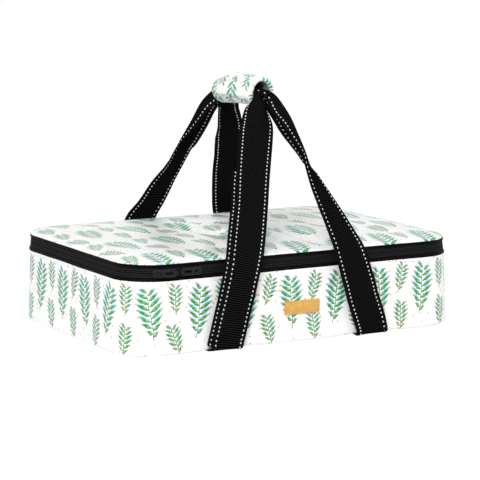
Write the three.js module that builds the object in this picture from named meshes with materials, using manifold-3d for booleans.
// Insulated casserole carrier: a soft zip-round box with two webbing carry loops
// that meet in a padded, fabric grip. Millimetres, +Z up, front face towards -Y.
// The origin is on the table, under the middle of the bag.

import * as THREE from 'three';
import { mergeVertices } from 'three/addons/utils/BufferGeometryUtils.js';
import Module from 'manifold-3d';

const wasm = await Module();
wasm.setup();

// Driving dimensions
const bagLength = 400;
const bagDepth = 274;
const cornerRadius = 42;
const bottomEdgeRadius = 7;
const bandTop = 93.3;
const bandHeight = 17.2;
const lidCrown = 8.5;
const seatGap = 0.3;

// Cloth, foam and board
const coverThickness = 1.2;
const foamThickness = 6;
const liningThickness = 0.8;
const boardThickness = 2;
const baseFoamThickness = 6;

// Zip band
const pipingRadius = 1.7;
const pipingProud = 1.1;
const coilRadius = 1.1;
const tapeThickness = 0.8;
const tapeRecess = 0.3;
const hingeTapeThickness = 0.8;
const stopLength = 2.7;
const stopHeight = 3;

// Zip sliders and pull tabs
const sliderLength = 10;
const sliderHeight = 8.4;
const sliderThickness = 2;
const pinThickness = 1.6;
const pinClearance = 0.35;
const pinStandOff = 1.4;
const bridgeBar = 1;
const bridgeWidth = 1.6;
const tabLength = 20;
const tabHeight = 8;
const tabEyeWidth = 2.6;
const tabSlotLength = 8;
const tabSlotHeight = 2.6;
const rightSliderFromCorner = 34;
const leftSliderDegrees = 14;

// Webbing carry loops
const webWidth = 38;
const webThickness = 1.6;
const foldedWidth = 18;
const foldedThickness = 3;
const strapStandOff = 10.3;
const frontLeftFootX = -92;
const frontRightFootX = 86;
const rearLeftFootX = -78;
const rearRightFootX = 84;
const lapOffset = 7;
const lapClearance = 0.4;

// Grip wrapped round the loops
const gripHeight = 248;
const gripX = 6;
const gripLength = 82;
const gripBore = 10.2;
const gripLiningThickness = 0.6;
const gripPaddingThickness = 2;
const gripCoverThickness = 1;
const gripFlapThickness = 1;
const fastenerThickness = 0.5;
const fastenerLength = 44;
const flapFrontInset = 9;
const flapRearInset = 17;
const flapCornerRadius = 9;
const strapStep = 2.2;
const mouthReach = 3;

// Maker's plate on the front
const plateWidth = 42;
const plateHeight = 14;
const plateThickness = 1.2;
const plateCornerRadius = 1;
const plateBottom = 29.4;
const plateX = -0.8;

// Counts
const cornerSteps = 6;
const roundSides = 8;
const edgeSteps = 3;
const stationsPerKnot = 3;

// Where each run of webbing passes, from its foot at the bag's bottom edge to the grip.
// Height and depth are shares of the grip's height and of the way out from the grip's
// end to the bow; sideways is the share of the way from the foot to the grip.
const runHeightShares = [0.008, 0.1, 0.24, 0.38, 0.47, 0.565, 0.726, 0.867, 0.94];
const leftDepthShares = [0.925, 0.97, 1, 0.985, 0.9, 0.76, 0.52, 0.33, 0.22];
const rightDepthShares = [0.925, 0.97, 1, 0.985, 0.9, 0.76, 0.51, 0.26, 0.08];
const frontLeftShares = [0, 0.04, 0.1, 0.2, 0.29, 0.4, 0.59, 0.75, 0.88];
const frontRightShares = [0, 0.12, 0.28, 0.44, 0.53, 0.62, 0.76, 0.84, 0.85];
const rearLeftShares = [0, 0.08, 0.24, 0.43, 0.53, 0.62, 0.82, 0.93, 0.97];
const rearRightShares = [0, 0.03, 0.09, 0.18, 0.28, 0.37, 0.55, 0.7, 0.84];
const frontLeftTurnDegrees = [0, 0, 0, 0, 0, 0, 0, 0, 0];
const frontRightTurnDegrees = [0, 0, 0, 0, 12, 31, 54, 80, 45];
const rearLeftTurnDegrees = [0, 0, 0, 3, 11, 19, 28, 27, 20];
const rearRightTurnDegrees = [0, 0, 0, 0, 0, 2, 10, 22, 16];
const runWidthShares = [1, 1, 1, 1, 1, 1, 1, 0.94, 0.66];
const lapEndShare = 0.62;
const innerCornerShare = 0.3;

// The lid's rise from its rim to its crown: [share of the half depth in from the
// rim, share of the crown].
const lidRiseShares = [
  [0, 0], [0.005, 0.09], [0.016, 0.19], [0.045, 0.31], [0.1, 0.46],
  [0.2, 0.65], [0.4, 0.84], [0.65, 0.95], [0.9, 1],
];

// Angles round the grip, from +X over the top
const wrapStartDegrees = -156;
const wrapEndDegrees = 172;
const flapRootDegrees = 203;
const flapTipDegrees = 114;
const fastenerStartDegrees = 126;
const fastenerEndDegrees = 164;
const arcStepDegrees = 13;

// Heights and places that follow
const halfLength = bagLength / 2;
const halfDepth = bagDepth / 2;
const bagBottom = webThickness + seatGap;
const bandBottom = bandTop - bandHeight;
const bandMiddle = bandTop - bandHeight / 2;
const boardBottom = bagBottom + coverThickness + seatGap;
const baseFoamBottom = boardBottom + boardThickness + seatGap;
const liningBottom = baseFoamBottom + baseFoamThickness + seatGap;
const foamInset = coverThickness + seatGap;
const liningInset = foamInset + foamThickness + seatGap;
const pipingInset = pipingRadius - pipingProud;
const coilInset = tapeRecess + tapeThickness + seatGap + coilRadius;
const flangeInset = pipingInset + pipingRadius + seatGap;
const lidSeat = bandTop + seatGap;
const lowerTapeBottom = bandBottom + 2 * pipingRadius + seatGap;
const upperTapeTop = bandTop - 2 * pipingRadius - seatGap;
const frontFace = -halfDepth;
const strapBow = halfDepth + strapStandOff;

// A solid from rows of points: each row is joined to the next, and the two ends are
// filled unless the rows close on themselves. Faces are turned to point out.
function sweepSolid(rows, closed = false) {
  const count = rows[0].length;
  const positions = rows.flat().flatMap((p) => [p.x, p.y, p.z]);
  const triangles = [];
  const spans = closed ? rows.length : rows.length - 1;
  for (let row = 0; row < spans; row++) {
    const here = row * count;
    const next = ((row + 1) % rows.length) * count;
    for (let i = 0; i < count; i++) {
      const j = (i + 1) % count;
      triangles.push([here + i, here + j, next + j], [here + i, next + j, next + i]);
    }
  }
  if (!closed) {
    const end = (rows.length - 1) * count;
    for (let i = 1; i < count - 1; i++) {
      triangles.push([0, i + 1, i], [end, end + i, end + i + 1]);
    }
  }
  const corner = (k) => new THREE.Vector3().fromArray(positions, 3 * k);
  const volume = triangles.reduce(
    (sum, [a, b, c]) => sum + corner(a).dot(corner(b).cross(corner(c))), 0);
  const turned = volume < 0 ? triangles.map(([a, b, c]) => [a, c, b]) : triangles;
  const geometry = new THREE.BufferGeometry();
  geometry.setAttribute('position', new THREE.Float32BufferAttribute(positions, 3));
  geometry.setIndex(turned.flat());
  geometry.computeVertexNormals();
  return geometry;
}

// The bag's rounded rectangle seen from above, moved in by an inset. It starts behind
// the rear left corner and runs round the front to behind the rear right corner.
function outline(inset) {
  const radius = Math.max(cornerRadius - inset, cornerRadius * innerCornerShare);
  const cornerX = halfLength - inset - radius;
  const cornerY = halfDepth - inset - radius;
  const points = [];
  [[-1, 1], [-1, -1], [1, -1], [1, 1]].forEach(([sideX, sideY], corner) => {
    for (let step = 0; step <= cornerSteps; step++) {
      const angle = (Math.PI / 2) * (1 + corner + step / cornerSteps);
      points.push([
        sideX * cornerX + radius * Math.cos(angle),
        sideY * cornerY + radius * Math.sin(angle),
      ]);
    }
  });
  return points;
}

function level(inset, z) {
  return outline(inset).map(([x, y]) => new THREE.Vector3(x, y, z));
}

// A wall of one profile, a list of [inset, z], carried round the bag: all the way, or
// as the zip runs, from one rear corner round the front to the other.
function wall(profile, allRound = true) {
  const levels = profile.map(([inset, z]) => level(inset, z));
  const rows = levels[0].map((_, i) => levels.map((ring) => ring[i]));
  return sweepSolid(rows, allRound);
}

// A sheet, pan or slab from a stack of levels, filled at its first and last level.
function stack(levels) {
  return sweepSolid(levels.map(([inset, z]) => level(inset, z)));
}

function roundProfile(inset, z, radius) {
  return Array.from({ length: roundSides }, (_, side) => {
    const angle = (2 * Math.PI * (side + 0.5)) / roundSides;
    return [inset + radius * Math.cos(angle), z + radius * Math.sin(angle)];
  });
}

function boxProfile(inset, thickness, bottom, top) {
  return [[inset, bottom], [inset + thickness, bottom], [inset + thickness, top], [inset, top]];
}

// The side panel turns under the bag at its foot, round the bottom edge.
function sidePanel() {
  const edge = (radius, step) => {
    const angle = (Math.PI / 2) * (step / edgeSteps);
    return [
      bottomEdgeRadius - radius * Math.sin(angle),
      bagBottom + bottomEdgeRadius - radius * Math.cos(angle),
    ];
  };
  const steps = Array.from({ length: edgeSteps + 1 }, (_, step) => step);
  const top = bandBottom - seatGap;
  return wall([
    ...steps.map((step) => edge(bottomEdgeRadius, step)),
    [0, top],
    [coverThickness, top],
    ...steps.reverse().map((step) => edge(bottomEdgeRadius - coverThickness, step)),
  ]);
}

// The lining is a pan with a flange that folds out over the foam, under the piping.
function tubLining() {
  const inner = liningInset + liningThickness;
  const top = bandBottom + liningThickness;
  return stack([
    [liningInset, liningBottom],
    [liningInset, bandBottom],
    [flangeInset, bandBottom],
    [flangeInset, top],
    [inner, top],
    [inner, liningBottom + liningThickness],
  ]);
}

// Places on the crowned lid as [inset, z], sunk by a depth below its top surface.
function crown(depth) {
  return lidRiseShares.map(([inShare, riseShare]) => [
    inShare * halfDepth + depth * (1 - inShare),
    lidSeat + riseShare * lidCrown - depth,
  ]).filter(([, z]) => depth === 0 || z > lidSeat);
}

function lidCover() {
  return stack([...crown(0).reverse(), [coverThickness, lidSeat], ...crown(coverThickness)]);
}

function lidFoam() {
  const top = crown(coverThickness + seatGap);
  return stack([[top[0][0], lidSeat], ...top]);
}

// A closed solid for the boolean library, and back again.
function toManifold(geometry) {
  const bare = geometry.clone();
  bare.deleteAttribute('normal');
  bare.deleteAttribute('uv');
  const merged = mergeVertices(bare);
  return new wasm.Manifold(new wasm.Mesh({
    numProp: 3,
    vertProperties: new Float32Array(merged.attributes.position.array),
    triVerts: new Uint32Array(merged.index.array),
  }));
}

function fromManifold(solid) {
  const { vertProperties, triVerts } = solid.getMesh();
  const geometry = new THREE.BufferGeometry();
  geometry.setAttribute('position', new THREE.BufferAttribute(vertProperties, 3));
  geometry.setIndex(new THREE.BufferAttribute(triVerts, 1));
  geometry.computeVertexNormals();
  return geometry;
}

// A flat shape drawn in X and Z, given a thickness out of the front face, towards -Y.
function standing(shape, thickness) {
  return new THREE.ExtrudeGeometry(shape,
    { depth: thickness, bevelEnabled: false, curveSegments: roundSides })
    .rotateX(Math.PI / 2);
}

function polygon(points) {
  return new THREE.Shape(points.map(([x, y]) => new THREE.Vector2(x, y)));
}

function roundedRectangle(width, height, radius) {
  const shape = new THREE.Shape();
  const right = width / 2 - radius;
  const top = height / 2 - radius;
  shape.absarc(right, top, radius, 0, Math.PI / 2);
  shape.absarc(-right, top, radius, Math.PI / 2, Math.PI);
  shape.absarc(-right, -top, radius, Math.PI, 1.5 * Math.PI);
  shape.absarc(right, -top, radius, 1.5 * Math.PI, 2 * Math.PI);
  return shape;
}

// Slider: a plate with pointed ends, and a bridge that holds the pull tab's pin. Its
// origin is the pin's axis, and its back is towards +Y.
const plateFront = pinStandOff;
const pinReach = (pinThickness / 2) * Math.SQRT2 + pinClearance;
const bridgeReach = pinReach + bridgeBar;

function sliderBody() {
  const tip = sliderLength / 2;
  const shoulder = tip - sliderHeight / 4;
  const waist = sliderHeight / 2;
  const nose = sliderHeight / 4;
  const plate = standing(polygon([
    [tip, -nose], [tip, nose], [shoulder, waist], [-shoulder, waist],
    [-tip, nose], [-tip, -nose], [-shoulder, -waist], [shoulder, -waist],
  ]), sliderThickness).translate(0, plateFront + sliderThickness, 0);
  const arch = polygon([
    [-bridgeReach, plateFront + bridgeBar], [-bridgeReach, -bridgeReach],
    [bridgeReach, -bridgeReach], [bridgeReach, plateFront + bridgeBar],
    [pinReach, plateFront + bridgeBar], [pinReach, -pinReach],
    [-pinReach, -pinReach], [-pinReach, plateFront + bridgeBar],
  ]);
  const bridge = new THREE.ExtrudeGeometry(arch, { depth: bridgeWidth, bevelEnabled: false })
    .translate(0, 0, -bridgeWidth / 2);
  return fromManifold(toManifold(plate).add(toManifold(bridge)));
}

// Pull tab: a pin across one end, an eye round the bridge, a slotted paddle with a
// round far end. It points along +X.
function pullTab() {
  const half = tabHeight / 2;
  const pin = pinThickness / 2;
  const roundStart = tabLength - half;
  const paddle = new THREE.Shape();
  paddle.absarc(roundStart, 0, half, -Math.PI / 2, Math.PI / 2);
  paddle.lineTo(-pin, half);
  paddle.lineTo(-pin, -half);
  const hole = (from, to, height) => toManifold(
    new THREE.BoxGeometry(to - from, 2 * pinThickness, height)
      .translate((from + to) / 2, 0, 0));
  const solid = toManifold(standing(paddle, pinThickness).translate(0, pin, 0))
    .subtract(hole(pin, bridgeReach * Math.SQRT2 + pinClearance, tabEyeWidth))
    .subtract(hole(roundStart - tabSlotLength, roundStart, tabSlotHeight));
  return fromManifold(solid);
}

// Webbing: a flat band carried along stations, each with a middle, the way across it,
// a width and a thickness.
function band(stations) {
  return sweepSolid(stations.map((station, i) => {
    const before = stations[Math.max(i - 1, 0)].middle;
    const after = stations[Math.min(i + 1, stations.length - 1)].middle;
    const along = after.clone().sub(before).normalize();
    const out = along.clone().cross(station.across).normalize();
    return [[-1, -1], [1, -1], [1, 1], [-1, 1]].map(([side, face]) =>
      station.middle.clone()
        .addScaledVector(station.across, side * station.width / 2)
        .addScaledVector(out, face * station.thickness / 2));
  }));
}

// Knots of one run from its foot up to the last place before the grip.
function runKnots(footX, end, depthShares, sidewaysShares, turns) {
  const depth = strapBow - gripLength / 2;
  return runHeightShares.map((heightShare, i) => ({
    middle: new THREE.Vector3(
      footX + (gripX - footX) * sidewaysShares[i],
      end * (gripLength / 2 + depth * depthShares[i]),
      heightShare * gripHeight,
    ),
    turn: turns[i],
    width: webWidth * runWidthShares[i],
    thickness: webThickness,
  }));
}

// Stations along a smooth line through knots. The turn is the angle, from +X towards
// +Y, of the way across the webbing.
function stationsThrough(knots) {
  const path = new THREE.CatmullRomCurve3(knots.map((knot) => knot.middle), false, 'centripetal');
  const form = new THREE.CatmullRomCurve3(
    knots.map((knot) => new THREE.Vector3(knot.turn, knot.width, knot.thickness)),
    false, 'centripetal');
  const count = (knots.length - 1) * stationsPerKnot;
  return Array.from({ length: count + 1 }, (_, i) => {
    const share = i / count;
    const { x: turn, y: width, z: thickness } = form.getPoint(share);
    const angle = THREE.MathUtils.degToRad(turn);
    return {
      middle: path.getPoint(share),
      across: new THREE.Vector3(Math.cos(angle), Math.sin(angle), 0),
      width,
      thickness,
    };
  });
}

// A carry loop: up the front, through the grip folded double, and down the rear.
function loopKnots(frontKnots, rearKnots, gripZ) {
  const mouths = [-1, 1].flatMap((end) => [
    end * (gripLength / 2 + mouthReach - end * mouthReach / 2),
    end * (gripLength / 2 + mouthReach + end * mouthReach / 2),
  ]);
  const inGrip = mouths.map((y) => ({
    middle: new THREE.Vector3(gripX, y, gripZ),
    turn: 0,
    width: foldedWidth,
    thickness: foldedThickness,
  }));
  return [...frontKnots, ...inGrip, ...rearKnots.slice().reverse()];
}

const frontLeftKnots = runKnots(frontLeftFootX, -1, leftDepthShares, frontLeftShares,
  frontLeftTurnDegrees);
const rearLeftKnots = runKnots(rearLeftFootX, 1, leftDepthShares, rearLeftShares,
  rearLeftTurnDegrees);
const frontRightKnots = runKnots(frontRightFootX, -1, rightDepthShares, frontRightShares,
  frontRightTurnDegrees);
const rearRightKnots = runKnots(rearRightFootX, 1, rightDepthShares, rearRightShares,
  rearRightTurnDegrees);

// The lap is the webbing's tail: it lies behind the front left run, set off sideways.
function lapStations() {
  const behind = webThickness + lapClearance;
  return stationsThrough(frontLeftKnots)
    .filter((station) => station.middle.z < gripHeight * lapEndShare)
    .map((station) => ({
      ...station,
      middle: station.middle.clone().add(new THREE.Vector3(-lapOffset, behind, 0)),
    }));
}

// The base strap carries a loop under the bag, from its front foot to its rear foot.
function baseStrap(frontX, rearX) {
  const reach = gripLength / 2 + (strapBow - gripLength / 2) * leftDepthShares[0];
  const end = reach + webThickness / 2;
  return band([[frontX, -end], [rearX, end]].map(([x, y]) => ({
    middle: new THREE.Vector3(x, y, webThickness / 2),
    across: new THREE.Vector3(1, 0, 0),
    width: webWidth,
    thickness: webThickness,
  })));
}

// A shell round the grip's axis, between two radii and two angles. Where a corner
// radius is given, the shell's last edge has round corners.
function gripShell(innerRadius, thickness, from, to, rear, front, corner = 0) {
  const steps = Math.max(2, Math.round(Math.abs(to - from) / arcStepDegrees));
  const middleRadius = innerRadius + thickness / 2;
  const edge = THREE.MathUtils.radToDeg(corner / middleRadius);
  const angles = Array.from({ length: steps + 1 }, (_, i) => from + ((to - from) * i) / steps);
  const rows = angles.map((degrees) => {
    const angle = THREE.MathUtils.degToRad(degrees);
    const left = Math.abs(to - degrees);
    const into = corner > 0 && left < edge ? 1 - left / edge : 0;
    const trim = corner * (1 - Math.sqrt(1 - into * into));
    return [[0, rear - trim], [thickness, rear - trim],
      [thickness, front + trim], [0, front + trim]].map(([out, y]) =>
      new THREE.Vector3(
        gripX + (innerRadius + out) * Math.cos(angle),
        y,
        gripHeight + (innerRadius + out) * Math.sin(angle),
      ));
  });
  return sweepSolid(rows);
}

// Radii outwards through the wrap
const gripEnd = gripLength / 2;
const paddingRadius = gripBore + gripLiningThickness + seatGap;
const gripCoverRadius = paddingRadius + gripPaddingThickness + seatGap;
const loopStripRadius = gripCoverRadius + gripCoverThickness + seatGap;
const hookStripRadius = loopStripRadius + fastenerThickness + seatGap;
const flapRadius = hookStripRadius + fastenerThickness + seatGap;
const flapRear = gripEnd - flapRearInset;
const flapFront = -gripEnd + flapFrontInset;
const fastenerRear = (flapRear + flapFront + fastenerLength) / 2;
const fastenerFront = fastenerRear - fastenerLength;

// Finishes
function finish(color, roughness, metalness = 0) {
  return new THREE.MeshStandardMaterial({ color, roughness, metalness });
}
const printedCloth = () => finish(0xf4f6f3, 0.45);
const webbing = () => finish(0x101011, 0.75);
const zipBlack = () => finish(0x1b1b1d, 0.5);
const foam = () => finish(0xe6e8ea, 0.95);
const liningCloth = () => finish(0xb9bcc0, 0.4);
const board = () => finish(0x55585c, 0.7);
const tanPlate = () => finish(0xd6a24e, 0.4);

const carrier = new THREE.Group();

function place(name, geometry, material, parent = carrier) {
  const mesh = new THREE.Mesh(geometry, material);
  mesh.name = name;
  parent.add(mesh);
  return mesh;
}

// Tub
place('side_panel', sidePanel(), printedCloth());
place('bottom_panel', stack([
  [bottomEdgeRadius + seatGap, bagBottom],
  [bottomEdgeRadius + seatGap, bagBottom + coverThickness],
]), printedCloth());
place('base_board', stack([
  [liningInset, boardBottom], [liningInset, boardBottom + boardThickness],
]), board());
place('base_foam', stack([
  [liningInset, baseFoamBottom], [liningInset, baseFoamBottom + baseFoamThickness],
]), foam());
place('side_foam', wall(boxProfile(foamInset, foamThickness,
  bagBottom + bottomEdgeRadius + seatGap, bandBottom - seatGap)), foam());
place('tub_lining', tubLining(), liningCloth());
place('lower_piping', wall(roundProfile(pipingInset, bandBottom + pipingRadius, pipingRadius)),
  zipBlack());
place('lower_zip_tape', wall(boxProfile(tapeRecess, tapeThickness,
  lowerTapeBottom, bandMiddle - seatGap / 2), false), zipBlack());
place('lower_zip_coil', wall(roundProfile(coilInset,
  bandMiddle - seatGap / 2 - coilRadius, coilRadius), false), zipBlack());

// Rear hinge tapes, cut by the zip's end stops
const straightRun = halfLength - cornerRadius;
const stopInner = straightRun - seatGap - stopLength;
const hingeTapeDepth = hingeTapeThickness + tapeThickness;
function rearBar(fromX, toX, depth, bottom, top) {
  return new THREE.BoxGeometry(toX - fromX, depth, top - bottom).translate(
    (fromX + toX) / 2, halfDepth - tapeRecess - depth / 2, (bottom + top) / 2);
}
place('lower_hinge_tape', rearBar(-stopInner + seatGap, stopInner - seatGap, hingeTapeDepth,
  lowerTapeBottom, bandMiddle - seatGap / 2), zipBlack());
[['left_zip_stop', -1], ['right_zip_stop', 1]].forEach(([name, side]) => {
  const inner = side * stopInner;
  const outer = side * (stopInner + stopLength);
  place(name, rearBar(Math.min(inner, outer), Math.max(inner, outer), hingeTapeDepth,
    bandMiddle - seatGap - stopHeight, bandMiddle - seatGap), zipBlack());
});
place('label_plate', standing(roundedRectangle(plateWidth, plateHeight, plateCornerRadius),
  plateThickness), tanPlate())
  .position.set(plateX, frontFace - seatGap, plateBottom + plateHeight / 2);
place('left_base_strap', baseStrap(frontLeftFootX, rearLeftFootX), webbing());
place('right_base_strap', baseStrap(frontRightFootX, rearRightFootX), webbing());

// Lid
place('lid_cover', lidCover(), printedCloth());
place('lid_foam', lidFoam(), foam());
place('lid_lining', stack([
  [flangeInset, bandTop - liningThickness], [flangeInset, bandTop],
]), liningCloth());
place('upper_piping', wall(roundProfile(pipingInset, bandTop - pipingRadius, pipingRadius)),
  zipBlack());
place('upper_zip_tape', wall(boxProfile(tapeRecess, tapeThickness,
  bandMiddle + seatGap / 2, upperTapeTop), false), zipBlack());
place('upper_zip_coil', wall(roundProfile(coilInset,
  bandMiddle + seatGap / 2 + coilRadius, coilRadius), false), zipBlack());
place('upper_hinge_tape', rearBar(-stopInner + seatGap, stopInner - seatGap, hingeTapeDepth,
  bandMiddle + seatGap / 2, upperTapeTop), zipBlack());

// Zip sliders. The left one stands at the start of the front left corner, so it is
// placed by an angle round that corner; the right one is on the straight front run.
const pinOut = seatGap - tapeRecess + sliderThickness + pinStandOff;
const leftCorner = new THREE.Group();
leftCorner.position.set(-straightRun, frontFace + cornerRadius, bandMiddle);
leftCorner.rotation.z = -THREE.MathUtils.degToRad(leftSliderDegrees);
carrier.add(leftCorner);
place('left_slider', sliderBody(), zipBlack(), leftCorner)
  .position.set(0, -cornerRadius - pinOut, 0);
place('left_pull_tab', pullTab(), zipBlack(), leftCorner)
  .position.set(0, -cornerRadius - pinOut, 0);
const frontRun = new THREE.Group();
frontRun.position.set(rightSliderFromCorner - straightRun, frontFace - pinOut, bandMiddle);
carrier.add(frontRun);
place('right_slider', sliderBody(), zipBlack(), frontRun);
place('right_pull_tab', pullTab(), zipBlack(), frontRun).rotation.z = Math.PI;

// Carry loops
place('left_carry_strap', band(stationsThrough(
  loopKnots(frontLeftKnots, rearLeftKnots, gripHeight + strapStep))), webbing());
place('left_strap_lap', band(lapStations()), webbing());
place('right_carry_strap', band(stationsThrough(
  loopKnots(frontRightKnots, rearRightKnots, gripHeight - strapStep))), webbing());

// Grip
place('grip_lining', gripShell(gripBore, gripLiningThickness, wrapStartDegrees, wrapEndDegrees,
  gripEnd, -gripEnd), liningCloth());
place('grip_padding', gripShell(paddingRadius, gripPaddingThickness, wrapStartDegrees, wrapEndDegrees,
  gripEnd, -gripEnd), foam());
place('grip_cover', gripShell(gripCoverRadius, gripCoverThickness, wrapStartDegrees, wrapEndDegrees,
  gripEnd, -gripEnd), printedCloth());
place('loop_strip', gripShell(loopStripRadius, fastenerThickness, fastenerStartDegrees, fastenerEndDegrees,
  fastenerRear, fastenerFront), webbing());
place('hook_strip', gripShell(hookStripRadius, fastenerThickness, fastenerStartDegrees, fastenerEndDegrees,
  fastenerRear, fastenerFront), webbing());
place('grip_flap', gripShell(flapRadius, gripFlapThickness, flapRootDegrees, flapTipDegrees,
  flapRear, flapFront, flapCornerRadius), printedCloth());

export default carrier;
